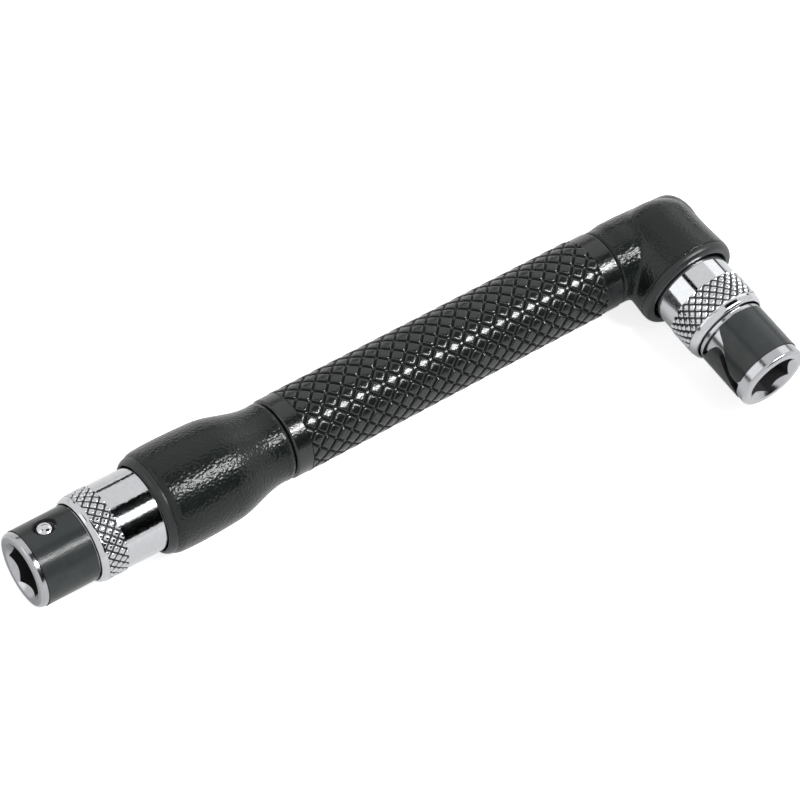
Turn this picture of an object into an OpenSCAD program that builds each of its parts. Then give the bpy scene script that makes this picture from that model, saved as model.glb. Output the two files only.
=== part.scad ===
// Offset screwdriver with two quarter inch bit sockets
// X runs along the grip toward the elbow, the angled socket faces -Y, and Z is up.
// The origin is at the bottom centre of the whole tool.
// Stations are distances from the point where the grip's axis crosses the leg's axis.

/* [Grip] */
// Length of the grip tube with its two plain collars
grip_len = 55.2; // [40:0.1:120]
// Diameter over the knurl
grip_d = 11.5; // [10.8:0.1:13]
// Diameter of the plain collar beside the bell
bell_collar_d = 11.4; // [10.4:0.1:11.5]
// Diameter of the plain collar beside the elbow
elbow_collar_d = 11.2; // [10.4:0.1:11.5]
// Width of the plain collar beside the bell
bell_collar_w = 2.5; // [1:0.1:6]
// Width of the plain collar beside the elbow
elbow_collar_w = 3.1; // [1:0.1:6]
// Bore of the tube
tube_bore_d = 8.4; // [7:0.1:9]
// Length of the spigot that each casting pushes into the tube
spigot_len = 6; // [4:0.1:12]
// Chamfer that makes the dark groove at each end of the tube
joint_chamfer = 0.25; // [0.1:0.05:0.5]

/* [Bell] */
// Length of the bell casting in front of the tube
bell_len = 19.4; // [18.6:0.1:30]
// Largest diameter of the bell
bell_d = 14.7; // [14.6:0.1:18]
// Diameter of the bell where its edge starts to round in
bell_mouth_d = 14.5; // [14.2:0.1:17]
// Length over which the bell's edge rounds in
bell_edge_w = 1.2; // [0.6:0.1:2]
// How far the bell's edge rounds in
bell_edge_drop = 0.35; // [0.2:0.05:0.4]
// Diameter where the cone meets the round belly
shoulder_d = 14.4; // [13:0.1:17]
// Diameter of the neck
neck_d = 11; // [10.4:0.1:13]
// Length of the cone between the neck and the belly
cone_len = 9; // [6:0.1:11]
// Length of the neck
neck_len = 1.3; // [1.2:0.1:3]
// Width of the fine ridge round the neck
ridge_w = 0.5; // [0.3:0.05:0.7]
// Height of the fine ridge round the neck
ridge_h = 0.12; // [0.05:0.01:0.3]
// Thickness of the web that the tie screw pulls on
web_t = 1.5; // [1:0.1:3]

/* [Elbow] */
// From the leg's axis to the joint with the tube
elbow_reach = 9.4; // [9.2:0.1:16]
// Diameter of the arm
arm_d = 11.5; // [10.8:0.1:14]
// Diameter of the arm where it meets the tube
arm_joint_d = 11; // [10.4:0.1:11.5]
// Diameter of the arm before its rounded end
arm_tip_d = 10.8; // [9:0.1:11.5]
// How far the arm runs past the leg's axis
arm_past = 6.3; // [5.5:0.1:7]
// Rounding of the arm's end
arm_round = 2; // [1:0.1:3]
// From the grip's axis to the end of the leg casting
leg_len = 7.7; // [7.5:0.1:14]
// Diameter of the leg at its open end
leg_d = 15.2; // [14.8:0.1:18]
// Diameter of the leg at the grip's axis
leg_root_d = 14.6; // [14.2:0.1:17]
// Height of the dome behind the leg
dome_h = 5; // [4.8:0.1:6]

/* [Bit sockets] */
// Width across the flats of each hex socket
hex_af = 6.4; // [6.35:0.01:6.5]
// Depth of each hex socket
socket_depth = 12.6; // [10:0.1:13]
// Diameter of the countersink at each socket's mouth
countersink_d = 8; // [7.6:0.1:9]
// How far the straight nose stands out of the bell
straight_reach = 18.1; // [17.6:0.1:24]
// How far the angled nose stands out of the leg
angle_reach = 18.5; // [18.4:0.1:24]
// Width of the silver rim on the straight nose
straight_rim_w = 0.9; // [0.6:0.05:1.4]
// Width of the silver rim on the angled nose
angle_rim_w = 1.65; // [0.6:0.05:1.7]
// Diameter of the rim
rim_d = 10.4; // [10:0.1:10.6]
// Rounding of each nose's outer edge
rim_round = 0.45; // [0.1:0.05:0.5]
// Width of the flange behind each band
flange_w = 0.65; // [0.4:0.05:1]
// Diameter of the shank that each sleeve runs on
shank_d = 9.2; // [8.6:0.1:9.4]
// Diameter of the tail that each housing holds
tail_d = 7.2; // [7.1:0.1:7.6]
// How far the angled tail runs past the grip's axis
tail_past = 3.4; // [2.5:0.1:3.6]
// Depth of the flat that the lock screw presses on
tail_flat = 0.4; // [0.2:0.05:0.8]
// Direction of the straight ball, from +Z toward -Y
straight_turn = -18.8; // [-60:0.1:60]
// Direction of the angled ball, from +Z toward +X
angle_turn = 84.7; // [60:0.1:120]
// Diameter of the magnets
magnet_d = 5; // [4:0.1:5.6]
// Thickness of the magnets
magnet_t = 3; // [1.5:0.1:4]

/* [Keeper bands] */
// Width of the groove that each band lies in
band_w = 7.45; // [6.8:0.05:7.6]
// Outside diameter of each band
band_d = 10.6; // [10.4:0.1:10.8]
// Diameter at the bottom of the groove
groove_d = 9.5; // [9.2:0.1:9.8]
// Diameter of the lock balls
ball_d = 2.8; // [2.6:0.05:3]
// How far each ball stands above its band
ball_rise = 0.1; // [0.05:0.01:0.15]
// From the front of the groove to the ball's centre
ball_place = 3.3; // [2.4:0.05:4.4]
// How far each sleeve presses its ball in when it slides forward
ball_press = 0.1; // [0.05:0.01:0.12]
// Diameter of the band's hole at its inside, which keeps the ball in
ball_hold_d = 2.4; // [2.2:0.05:2.5]
// Diameter of the band's hole at its outside
ball_window_d = 3.4; // [3:0.05:3.6]
// From the ball round to the middle of the slit, in degrees
slit_turn = 199.3; // [160:0.1:220]

/* [Lock sleeves] */
// Outside diameter of the smooth part
sleeve_d = 11.8; // [11.6:0.1:12.2]
// Outside diameter of the knurled ring
knurl_d = 12.1; // [11.8:0.1:12.6]
// Length of the straight sleeve outside the bell
straight_sleeve_out = 9.65; // [9.2:0.05:10.4]
// Length of the angled sleeve outside the leg
angle_sleeve_out = 8.7; // [8.2:0.1:9.4]
// Length of each sleeve inside its housing
sleeve_in = 5.3; // [5:0.1:5.4]
// Width of the rounded land before the straight knurl
straight_land_w = 0.9; // [0.6:0.05:1.5]
// Width of the rounded land before the angled knurl
angle_land_w = 0.75; // [0.6:0.05:1.5]
// Width of the straight knurl
straight_knurl_w = 2.9; // [2:0.05:4.5]
// Width of the angled knurl
angle_knurl_w = 4.45; // [2:0.05:5]
// Wall left at each sleeve's front edge
edge_wall = 0.1; // [0.08:0.01:0.2]
// How far each sleeve slides forward to lock the bit
lock_travel = 5; // [3.5:0.1:5.2]
// From each sleeve's rear end to the middle of its friction ring
ring_back = 4.6; // [3:0.1:6]
// Thickness of the wire in the friction rings
wire_d = 0.6; // [0.4:0.05:0.8]
// Width of the gap in each friction ring
ring_gap_w = 1.6; // [0.8:0.1:3]

/* [Guide bushes] */
// Thickness of the lip that shows at each mouth
lip_w = 1; // [0.8:0.05:1.3]
// How far in from its outer edge the lip rounds over
lip_round = 0.75; // [0.3:0.05:0.8]
// Wall of each bush inside its housing
bush_wall = 0.4; // [0.3:0.05:0.45]
// Gap between each sleeve and its bush
mouth_gap = 0.1; // [0.06:0.01:0.3]

/* [Fasteners] */
// Diameter of the tie screw
screw_d = 4; // [3:0.1:4.4]
// Diameter of the tie screw's head
head_d = 7; // [6.4:0.1:7]
// Height of the tie screw's head
head_h = 4; // [3:0.1:4.5]
// Width across the flats of the key socket in that head
head_key_af = 3; // [2.5:0.1:4]
// Depth of the key socket in that head
head_key_depth = 2; // [1.5:0.1:2.5]
// Free length between the head and the straight tail
head_gap = 0.5; // [0.3:0.1:0.9]
// Length of the tie screw inside the elbow
screw_grip = 8.5; // [5:0.1:8.6]
// Thickness of the washer
washer_t = 0.8; // [0.5:0.1:1.2]
// Diameter of the lock screws
lock_screw_d = 3; // [2.5:0.1:4]
// Length of the lock screws
lock_screw_len = 3.2; // [2.5:0.1:3.6]
// Width across the flats of the key socket in each lock screw
lock_key_af = 1.5; // [1.3:0.1:1.6]
// Depth of the key socket in each lock screw
lock_key_depth = 1.2; // [0.8:0.1:1.5]

/* [Fits] */
// Gap all round where a piece runs on another
run_gap = 0.05; // [0.03:0.01:0.08]
// Gap all round where a piece is fixed in another
fit_gap = 0.02; // [0.01:0.01:0.04]
// Gap between the end of a piece and the floor behind it
end_gap = 0.3; // [0.2:0.05:0.4]
// Gap round the tie screw where it passes through
screw_gap = 0.2; // [0.1:0.05:0.3]

/* [Hidden] */
$fn = 96;

coat_colour = "#34393a";
grip_colour = "#2a2e2f";
band_colour = "#23292b";
chrome_colour = "#d3d5d6";
steel_colour = "#b9bcbe";
zinc_colour = "#9fa4a6";
bush_colour = "#1d2021";

// Stations along the grip's axis
bell_joint = elbow_reach + grip_len;
bell_end = bell_joint + bell_len;
bell_mouth = bell_end + lip_w;
head_seat = bell_joint + web_t;
screw_end = elbow_reach + spigot_len - screw_grip;

// Stations along the leg's axis
leg_mouth = leg_len + lip_w;

// Depths below each mouth
well_depth = sleeve_in + end_gap;
straight_tail_len = bell_mouth - well_depth - head_seat - washer_t - head_h - head_gap;
angle_tail_len = leg_mouth - well_depth + tail_past;
bell_floor = bell_mouth - well_depth;
bell_lock_place = bell_floor - straight_tail_len / 2;

// Radii that fit one another
spigot_r = tube_bore_d / 2 - fit_gap;
rim_r = rim_d / 2;
band_r = band_d / 2;
groove_r = groove_d / 2;
shank_r = shank_d / 2;
tail_r = tail_d / 2;
tail_bore_r = tail_r + fit_gap;
ball_r = ball_d / 2;
ball_centre_r = band_r + ball_rise - ball_r;
sleeve_r = sleeve_d / 2;
land_r = (sleeve_d + knurl_d) / 4;
knurl_r = knurl_d / 2;
sleeve_bore_r = band_r + run_gap;
collar_bore_r = shank_r + run_gap;
bush_bore_r = sleeve_r + mouth_gap;
bush_r = bush_bore_r + bush_wall;
well_r = bush_r + fit_gap;
bell_edge_r = bell_mouth_d / 2 - bell_edge_drop;
bell_lip_r = bell_edge_r - run_gap;
leg_lip_r = leg_d / 2 - run_gap;
flat_reach = tail_r - tail_flat;
magnet_pocket_r = magnet_d / 2 + fit_gap;
screw_hole_r = screw_d / 2 + screw_gap;
hex_corner_share = 1 / cos(30);
overrun = 1;

// The whole tool stands with its box centred on the origin
tool_end_x = max(leg_d / 2, leg_root_d / 2, arm_past);
tool_back_y = max(bell_d / 2, arm_d / 2, grip_d / 2, dome_h);
tool_low_z = max(leg_d / 2, bell_d / 2);
home = [
    (bell_mouth + straight_reach - tool_end_x) / 2,
    (leg_mouth + angle_reach - tool_back_y) / 2,
    tool_low_z
];

// The slit's outline, across it in shares of the band's radius, along it in shares of its width
slit_shares = [
    [-0.59, -0.20], [-0.56, 0.00], [-0.49, 0.09], [-0.37, 0.28], [-0.16, 0.48],
    [0.08, 0.70], [0.14, 0.80], [0.15, 0.90], [0.11, 0.96], [0.03, 1.00], [0.00, 1.20],
    [0.63, 1.20], [0.53, 1.00], [0.37, 0.83], [0.14, 0.57], [-0.05, 0.37], [-0.09, 0.29],
    [-0.08, 0.22], [-0.03, 0.16], [0.06, 0.13], [0.19, 0.12], [0.38, 0.08], [0.46, 0.00],
    [0.50, -0.20]
];

// Smooth steps for the curved outlines
curve_steps = 12;
function smooth(share) = (1 - cos(180 * share)) / 2;
function steps(count) = [for (i = [0:count]) i / count];
function arc(centre, radii, from, to) = [
    for (share = steps(curve_steps))
        let (angle = from + (to - from) * share)
            [centre[0] + radii[0] * cos(angle), centre[1] + radii[1] * sin(angle)]
];

// Puts a piece that points along +Z on the grip's axis, facing the straight nose
module on_grip_axis(station) {
    translate(home) rotate([0, -90, 0]) translate([0, 0, station]) children();
}

// Puts a piece that points along +Z on the leg's axis, facing the angled nose
module on_leg_axis(station) {
    translate(home) rotate([0, -90, 90]) translate([0, 0, station]) children();
}

module ring(outer_r, inner_r, height) {
    difference() {
        cylinder(r = outer_r, h = height);
        translate([0, 0, -overrun]) cylinder(r = inner_r, h = height + 2 * overrun);
    }
}

module hex_hole(across_flats, depth) {
    cylinder(r = across_flats / 2 * hex_corner_share, h = depth + overrun, $fn = 6);
}

// The well that holds a bush and a sleeve, and the bore for the tail behind it
module well(bore_len) {
    translate([0, 0, -well_depth]) cylinder(r = well_r, h = well_depth + overrun);
    translate([0, 0, -well_depth - bore_len]) cylinder(r = tail_bore_r, h = bore_len + overrun);
}

// The hole for a lock screw, from the tail's flat out through the underside
module lock_hole(reach) {
    rotate([0, -90, 0]) cylinder(r = lock_screw_d / 2 + fit_gap, h = reach + overrun);
}

// The bell's outer form, from its spigot to its open end
function bell_cone() = [
    for (share = steps(curve_steps))
        [
            neck_d / 2 + (shoulder_d - neck_d) / 2 * smooth(share),
            bell_joint + neck_len + cone_len * share
        ]
];
belly_len = bell_len - neck_len - cone_len - bell_edge_w;
belly_peak_share = 0.65;
function belly_drop(share) =
    share < belly_peak_share
    ? (bell_d - shoulder_d) / 2 * pow((belly_peak_share - share) / belly_peak_share, 2)
    : (bell_d - bell_mouth_d) / 2 * pow((share - belly_peak_share) / (1 - belly_peak_share), 2);
function bell_belly() = [
    for (share = steps(curve_steps))
        if (share > 0)
            [bell_d / 2 - belly_drop(share), bell_end - bell_edge_w - belly_len * (1 - share)]
];
function bell_edge() = [
    for (share = steps(curve_steps))
        if (share > 0)
            [bell_mouth_d / 2 - bell_edge_drop * pow(share, 2), bell_end - bell_edge_w * (1 - share)]
];
ridge_mid = bell_joint + neck_len - ridge_w;

module bell_form() {
    rotate_extrude() polygon(concat(
        [
            [0, bell_joint - spigot_len],
            [spigot_r, bell_joint - spigot_len],
            [spigot_r, bell_joint],
            [neck_d / 2 - joint_chamfer, bell_joint],
            [neck_d / 2, bell_joint + joint_chamfer],
            [neck_d / 2, ridge_mid - ridge_w / 2],
            [neck_d / 2 + ridge_h, ridge_mid],
            [neck_d / 2, ridge_mid + ridge_w / 2]
        ],
        bell_cone(),
        bell_belly(),
        bell_edge(),
        [[0, bell_end]]
    ));
}

module bell_housing() {
    color(coat_colour) on_grip_axis(0) difference() {
        bell_form();
        translate([0, 0, bell_mouth]) well(bell_floor - head_seat);
        translate([0, 0, bell_joint - spigot_len - overrun])
            cylinder(r = screw_hole_r, h = spigot_len + web_t + 2 * overrun);
        translate([0, 0, bell_lock_place]) lock_hole(bell_d / 2);
    }
}

module grip_tube() {
    color(grip_colour) on_grip_axis(elbow_reach) difference() {
        rotate_extrude() polygon([
            [0, 0],
            [elbow_collar_d / 2 - joint_chamfer, 0],
            [elbow_collar_d / 2, joint_chamfer],
            [elbow_collar_d / 2, elbow_collar_w],
            [grip_d / 2, elbow_collar_w],
            [grip_d / 2, grip_len - bell_collar_w],
            [bell_collar_d / 2, grip_len - bell_collar_w],
            [bell_collar_d / 2, grip_len - joint_chamfer],
            [bell_collar_d / 2 - joint_chamfer, grip_len],
            [0, grip_len]
        ]);
        translate([0, 0, -overrun]) cylinder(r = tube_bore_d / 2, h = grip_len + 2 * overrun);
    }
}

// The elbow's arm, with its spigot toward the tube and its rounded end past the leg
arm_step_share = 0.85;
arm_full_share = 0.68;
arm_taper_share = 0.4;
module arm_form() {
    rotate_extrude() polygon(concat(
        [
            [0, elbow_reach + spigot_len],
            [spigot_r, elbow_reach + spigot_len],
            [spigot_r, elbow_reach],
            [arm_joint_d / 2 - joint_chamfer, elbow_reach],
            [arm_joint_d / 2, elbow_reach - joint_chamfer],
            [arm_joint_d / 2, elbow_reach * arm_step_share],
            [arm_d / 2, elbow_reach * arm_full_share],
            [arm_d / 2, elbow_reach * arm_taper_share]
        ],
        arc([arm_tip_d / 2 - arm_round, arm_round - arm_past], [arm_round, arm_round], 0, -90),
        [[0, -arm_past]]
    ));
}

// The elbow's leg flares toward its open end in a hollow curve, with its dome behind the arm
function leg_flare() = [
    for (share = steps(curve_steps))
        if (share < 1)
            [leg_root_d / 2 + (leg_d - leg_root_d) / 2 * pow(1 - share, 2), leg_len * (1 - share)]
];
module leg_form() {
    rotate_extrude() polygon(concat(
        [[0, leg_len]],
        leg_flare(),
        arc([0, 0], [leg_root_d / 2, dome_h], 0, -90)
    ));
}

module elbow_housing() {
    color(coat_colour) difference() {
        union() {
            on_grip_axis(0) arm_form();
            on_leg_axis(0) leg_form();
        }
        on_leg_axis(leg_mouth) well(angle_tail_len + end_gap);
        on_grip_axis(screw_end - end_gap)
            cylinder(r = screw_d / 2 + fit_gap, h = screw_grip + end_gap + overrun);
        on_leg_axis(0) lock_hole(leg_d / 2);
    }
}

module tie_screw() {
    color(steel_colour) on_grip_axis(head_seat + washer_t) difference() {
        union() {
            cylinder(r = head_d / 2, h = head_h);
            translate([0, 0, screw_end - head_seat - washer_t])
                cylinder(r = screw_d / 2, h = head_seat + washer_t - screw_end + head_h / 2);
        }
        translate([0, 0, head_h - head_key_depth]) hex_hole(head_key_af, head_key_depth);
    }
}

module tie_washer() {
    color(zinc_colour) on_grip_axis(head_seat) ring(head_d / 2, screw_hole_r, washer_t);
}

// A chuck body, measured from its housing's mouth, with its nose toward +Z
module chuck_body(reach, rim_w, tail_len, turn) {
    band_front = reach - rim_w;
    band_rear = band_front - band_w;
    flange_rear = band_rear - flange_w;
    tail_end = -well_depth - tail_len;
    color(steel_colour) difference() {
        rotate_extrude() polygon(concat(
            [
                [0, tail_end],
                [tail_r, tail_end],
                [tail_r, -well_depth],
                [shank_r, -well_depth],
                [shank_r, flange_rear],
                [rim_r, flange_rear],
                [rim_r, band_rear],
                [groove_r, band_rear],
                [groove_r, band_front],
                [rim_r, band_front]
            ],
            arc([rim_r - rim_round, reach - rim_round], [rim_round, rim_round], 0, 90),
            [[0, reach]]
        ));
        rotate([0, 0, -turn]) {
            translate([0, 0, reach - socket_depth]) rotate([0, 0, 30]) hex_hole(hex_af, socket_depth);
            translate([ball_centre_r - ball_press, 0, band_front - ball_place]) {
                sphere(r = ball_r + fit_gap);
                rotate([0, 90, 0]) cylinder(r = ball_r + fit_gap, h = ball_r + overrun);
            }
        }
        translate([0, 0, reach - countersink_d / 2])
            cylinder(r1 = 0, r2 = countersink_d / 2 + overrun, h = countersink_d / 2 + overrun);
        translate([0, 0, reach - socket_depth - magnet_t - fit_gap])
            cylinder(r = magnet_pocket_r, h = magnet_t + overrun);
        translate([-flat_reach - tail_r, -tail_r, tail_end - overrun])
            cube([tail_r, 2 * tail_r, tail_len + overrun]);
    }
}

// A keeper band, a split ring with a hole that holds the ball
module keeper_band(reach, rim_w, turn) {
    band_rear = reach - rim_w - band_w;
    color(band_colour) translate([0, 0, band_rear]) difference() {
        translate([0, 0, run_gap]) ring(band_r, groove_r + fit_gap, band_w - 2 * run_gap);
        rotate([0, 0, -turn - slit_turn]) rotate([90, 0, 90])
            linear_extrude(height = band_r + overrun)
                polygon([for (point = slit_shares) [point[0] * band_r, point[1] * band_w]]);
        rotate([0, 0, -turn]) translate([0, 0, band_w - ball_place]) {
            translate([ball_centre_r, 0, 0]) sphere(r = ball_r + fit_gap);
            translate([groove_r, 0, 0]) rotate([0, 90, 0]) cylinder(
                r1 = ball_hold_d / 2,
                r2 = ball_window_d / 2,
                h = band_r - groove_r + run_gap
            );
        }
    }
}

module lock_ball(reach, rim_w, turn) {
    color(chrome_colour) rotate([0, 0, -turn])
        translate([ball_centre_r, 0, reach - rim_w - ball_place]) sphere(r = ball_r);
}

module bit_magnet(reach) {
    color(zinc_colour) translate([0, 0, reach - socket_depth - magnet_t - fit_gap])
        cylinder(d = magnet_d, h = magnet_t);
}

// Where each sleeve's inner collar begins: it stops on the flange when the sleeve is forward
function collar_front(reach, rim_w) =
    reach - rim_w - band_w - flange_w - lock_travel - run_gap;
ring_place = ring_back - sleeve_in;

module lock_sleeve(reach, rim_w, out, land_w, knurl_w) {
    front = collar_front(reach, rim_w);
    groove_w = wire_d + 2 * run_gap;
    knurl_front = out - land_w;
    knurl_rear = knurl_front - knurl_w;
    edge_r = sleeve_bore_r + edge_wall;
    color(chrome_colour) difference() {
        rotate_extrude() polygon(concat(
            [[0, -sleeve_in], [sleeve_r, -sleeve_in], [sleeve_r, knurl_rear], [knurl_r, knurl_rear]],
            [[knurl_r, knurl_front]],
            arc([edge_r, knurl_front], [land_r - edge_r, land_w], 0, 90),
            [[0, out]]
        ));
        translate([0, 0, -sleeve_in - overrun])
            cylinder(r = collar_bore_r, h = sleeve_in + out + 2 * overrun);
        translate([0, 0, front]) cylinder(r = sleeve_bore_r, h = out - front + overrun);
        translate([0, 0, ring_place - groove_w / 2])
            cylinder(r = collar_bore_r + wire_d + run_gap, h = groove_w);
    }
}

module friction_ring() {
    ring_r = collar_bore_r + wire_d / 2;
    color(steel_colour) translate([0, 0, ring_place]) difference() {
        rotate_extrude() translate([ring_r, 0]) circle(d = wire_d);
        translate([0, -ring_gap_w / 2, -wire_d]) cube([ring_r + wire_d, ring_gap_w, 2 * wire_d]);
    }
}

// A flanged bush: its lip shows at the mouth, its wall lies in the well
module guide_bush(lip_r) {
    color(bush_colour) difference() {
        rotate_extrude() polygon(concat(
            [[0, -well_depth], [bush_r, -well_depth], [bush_r, -lip_w], [lip_r, -lip_w]],
            arc([lip_r - lip_round, -lip_w], [lip_round, lip_w], 0, 90),
            [[0, 0]]
        ));
        translate([0, 0, -well_depth - overrun])
            cylinder(r = bush_bore_r, h = well_depth + 2 * overrun);
    }
}

// A grub screw that stands on the tail's flat, on the underside
module lock_screw() {
    color(zinc_colour) rotate([0, -90, 0]) translate([0, 0, flat_reach]) difference() {
        cylinder(d = lock_screw_d, h = lock_screw_len);
        translate([0, 0, lock_screw_len - lock_key_depth]) hex_hole(lock_key_af, lock_key_depth);
    }
}

module straight_chuck_body() {
    on_grip_axis(bell_mouth)
        chuck_body(straight_reach, straight_rim_w, straight_tail_len, straight_turn);
}

module straight_keeper_band() {
    on_grip_axis(bell_mouth) keeper_band(straight_reach, straight_rim_w, straight_turn);
}

module straight_lock_ball() {
    on_grip_axis(bell_mouth) lock_ball(straight_reach, straight_rim_w, straight_turn);
}

module straight_bit_magnet() {
    on_grip_axis(bell_mouth) bit_magnet(straight_reach);
}

module straight_friction_ring() {
    on_grip_axis(bell_mouth) friction_ring();
}

module straight_lock_sleeve() {
    on_grip_axis(bell_mouth) lock_sleeve(
        straight_reach, straight_rim_w, straight_sleeve_out, straight_land_w, straight_knurl_w
    );
}

module straight_guide_bush() {
    on_grip_axis(bell_mouth) guide_bush(bell_lip_r);
}

module straight_lock_screw() {
    on_grip_axis(bell_lock_place) lock_screw();
}

module angle_chuck_body() {
    on_leg_axis(leg_mouth) chuck_body(angle_reach, angle_rim_w, angle_tail_len, angle_turn);
}

module angle_keeper_band() {
    on_leg_axis(leg_mouth) keeper_band(angle_reach, angle_rim_w, angle_turn);
}

module angle_lock_ball() {
    on_leg_axis(leg_mouth) lock_ball(angle_reach, angle_rim_w, angle_turn);
}

module angle_bit_magnet() {
    on_leg_axis(leg_mouth) bit_magnet(angle_reach);
}

module angle_friction_ring() {
    on_leg_axis(leg_mouth) friction_ring();
}

module angle_lock_sleeve() {
    on_leg_axis(leg_mouth) lock_sleeve(
        angle_reach, angle_rim_w, angle_sleeve_out, angle_land_w, angle_knurl_w
    );
}

module angle_guide_bush() {
    on_leg_axis(leg_mouth) guide_bush(leg_lip_r);
}

module angle_lock_screw() {
    on_leg_axis(0) lock_screw();
}

bell_housing();
grip_tube();
elbow_housing();
tie_screw();
tie_washer();
straight_chuck_body();
straight_keeper_band();
straight_lock_ball();
straight_bit_magnet();
straight_friction_ring();
straight_lock_sleeve();
straight_guide_bush();
straight_lock_screw();
angle_chuck_body();
angle_keeper_band();
angle_lock_ball();
angle_bit_magnet();
angle_friction_ring();
angle_lock_sleeve();
angle_guide_bush();
angle_lock_screw();
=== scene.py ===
# Offset screwdriver with a knurled grip and two bit chucks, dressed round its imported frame
import math

import bmesh
import bpy
from mathutils import Matrix, Vector


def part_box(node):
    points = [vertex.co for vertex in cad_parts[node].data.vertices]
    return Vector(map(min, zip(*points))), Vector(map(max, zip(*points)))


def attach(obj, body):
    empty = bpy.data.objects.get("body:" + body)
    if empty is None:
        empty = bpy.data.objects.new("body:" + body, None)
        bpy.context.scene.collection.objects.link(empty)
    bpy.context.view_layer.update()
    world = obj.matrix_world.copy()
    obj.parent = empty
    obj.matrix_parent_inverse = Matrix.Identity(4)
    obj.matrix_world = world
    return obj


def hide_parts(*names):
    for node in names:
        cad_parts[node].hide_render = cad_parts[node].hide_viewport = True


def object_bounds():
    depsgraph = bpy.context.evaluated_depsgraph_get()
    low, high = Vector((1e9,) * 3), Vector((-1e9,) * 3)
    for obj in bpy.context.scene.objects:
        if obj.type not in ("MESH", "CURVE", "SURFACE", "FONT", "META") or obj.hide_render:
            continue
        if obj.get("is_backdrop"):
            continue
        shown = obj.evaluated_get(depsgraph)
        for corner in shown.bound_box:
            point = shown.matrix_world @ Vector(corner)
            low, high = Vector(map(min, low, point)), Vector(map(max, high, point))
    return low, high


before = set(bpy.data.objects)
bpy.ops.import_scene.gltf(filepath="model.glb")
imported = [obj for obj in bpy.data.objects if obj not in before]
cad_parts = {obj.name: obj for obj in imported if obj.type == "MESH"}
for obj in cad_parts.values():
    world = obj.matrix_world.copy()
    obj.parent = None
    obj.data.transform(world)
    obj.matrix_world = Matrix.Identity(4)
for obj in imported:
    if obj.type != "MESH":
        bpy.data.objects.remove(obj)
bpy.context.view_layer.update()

# The tool lies on its side: the grip's axis runs along X, and the leg turns off it toward -Y.
# Both axes are read from the pieces that are turned about them, and every piece is built on one
# of two frames whose Z points out of the nose and whose X points straight up.
MM = 0.001
tube_low, tube_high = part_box("grip_tube")
angle_bush_low, angle_bush_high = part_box("angle_guide_bush")
crossing = Vector((
    (angle_bush_low.x + angle_bush_high.x) / 2,
    (tube_low.y + tube_high.y) / 2,
    (tube_low.z + tube_high.z) / 2,
))
quarter = math.radians(90)
grip_place = Matrix.Translation(crossing) @ Matrix.Rotation(-quarter, 4, "Y")
leg_place = (
    Matrix.Translation(crossing)
    @ Matrix.Rotation(quarter, 4, "Z")
    @ Matrix.Rotation(-quarter, 4, "Y")
)
places = {"straight": grip_place, "angle": leg_place}

# The camera stands where the photograph was taken from, a little rolled.
# It was fitted to the outlines of the housings and to the corners of both hex sockets.
camera_turn = math.radians(-45.83)
camera_rise = math.radians(54.63)
camera_roll = math.radians(12.26)
camera_distance = 397.8 * MM
camera_aside = -35.43 * MM
camera_above = -22.08 * MM
camera_lens = 127.1
camera_sensor = 36
camera_near = 10 * MM
camera_far = 20
camera_back = Vector((
    math.sin(camera_turn) * math.cos(camera_rise),
    -math.cos(camera_turn) * math.cos(camera_rise),
    math.sin(camera_rise),
))
level_right = Vector((math.cos(camera_turn), math.sin(camera_turn), 0))
level_up = camera_back.cross(level_right)
camera_right = math.cos(camera_roll) * level_right + math.sin(camera_roll) * level_up
camera_up = camera_back.cross(camera_right)
camera_data = bpy.data.cameras.new("Photograph camera")
camera_data.lens = camera_lens
camera_data.sensor_width = camera_sensor
camera_data.clip_start = camera_near
camera_data.clip_end = camera_far
camera = bpy.data.objects.new("Photograph camera", camera_data)
bpy.context.scene.collection.objects.link(camera)
camera_place = (
    crossing
    + camera_back * camera_distance
    + camera_right * camera_aside
    + camera_up * camera_above
)
camera_turning = Matrix((camera_right, camera_up, camera_back)).transposed().to_4x4()
camera.matrix_world = Matrix.Translation(camera_place) @ camera_turning
bpy.context.scene.camera = camera

# The grip is a steel tube with a diamond knurl rolled into it, between two plain collars.
# It is coated with black enamel after knurling, which rounds the diamonds, and it is pressed
# onto a spigot of each casting. Its grooves are darkened with painted shade.

# A groove's bottom is flat as far as floor from its middle line, and its wall ends at wall.
# Corner rounds the places where grooves meet, and crown is how far a diamond's edges fall.
# A groove's walls take painted shade as far out as its set reach, and only past crossing from a
# meeting.
# Shift slides the rows along the axis.
grip_knurl = {
    "radius": 5.76 * MM,
    "starts": 14,
    "cuts": 12,
    "depth": 0.24 * MM,
    "floor": 0.05 * MM,
    "wall": 0.27 * MM,
    "corner": 0.4 * MM,
    "crown": 0.02 * MM,
    "shade_reach": 0.14 * MM,
    "crossing": 0.22 * MM,
    "shift": -0.92 * MM,
}
collar_radii = {"bell": 5.7 * MM, "elbow": 5.6 * MM}
collar_widths = {"bell": 2.5 * MM, "elbow": 3.1 * MM}
collar_chamfer = 0.25 * MM
collar_softness = 0.1 * MM
tube_bore = 4.2 * MM
# One row of diamonds faces this way round, in the photograph's highlight
diamond_turn = math.radians(-28.0)

# A knurl's cuts crowd toward its grooves, and its sheet is a few rows longer than it needs.
# The seam's tie says which side keeps the faces that lie right on the cut.
knurl_crowding = 1.4
knurl_spare_rows = 1.5
knurl_seam_tie = 0.25
knurl_weld = 0.002 * MM
knurl_cut_weld = 0.0001 * MM


def feed(tree, node, feeds):
    """Gives a node's inputs their values, or links them to the sockets of other nodes."""
    for key, value in (feeds.items() if isinstance(feeds, dict) else enumerate(feeds)):
        if isinstance(value, bpy.types.NodeSocket):
            tree.links.new(value, node.inputs[key])
        else:
            node.inputs[key].default_value = value


def add(tree, kind, feeds=(), **settings):
    """Adds a node with its settings, and feeds its inputs by name or in their order."""
    node = tree.nodes.new(kind)
    for name, value in settings.items():
        setattr(node, name, value)
    feed(tree, node, feeds)
    return node


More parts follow.
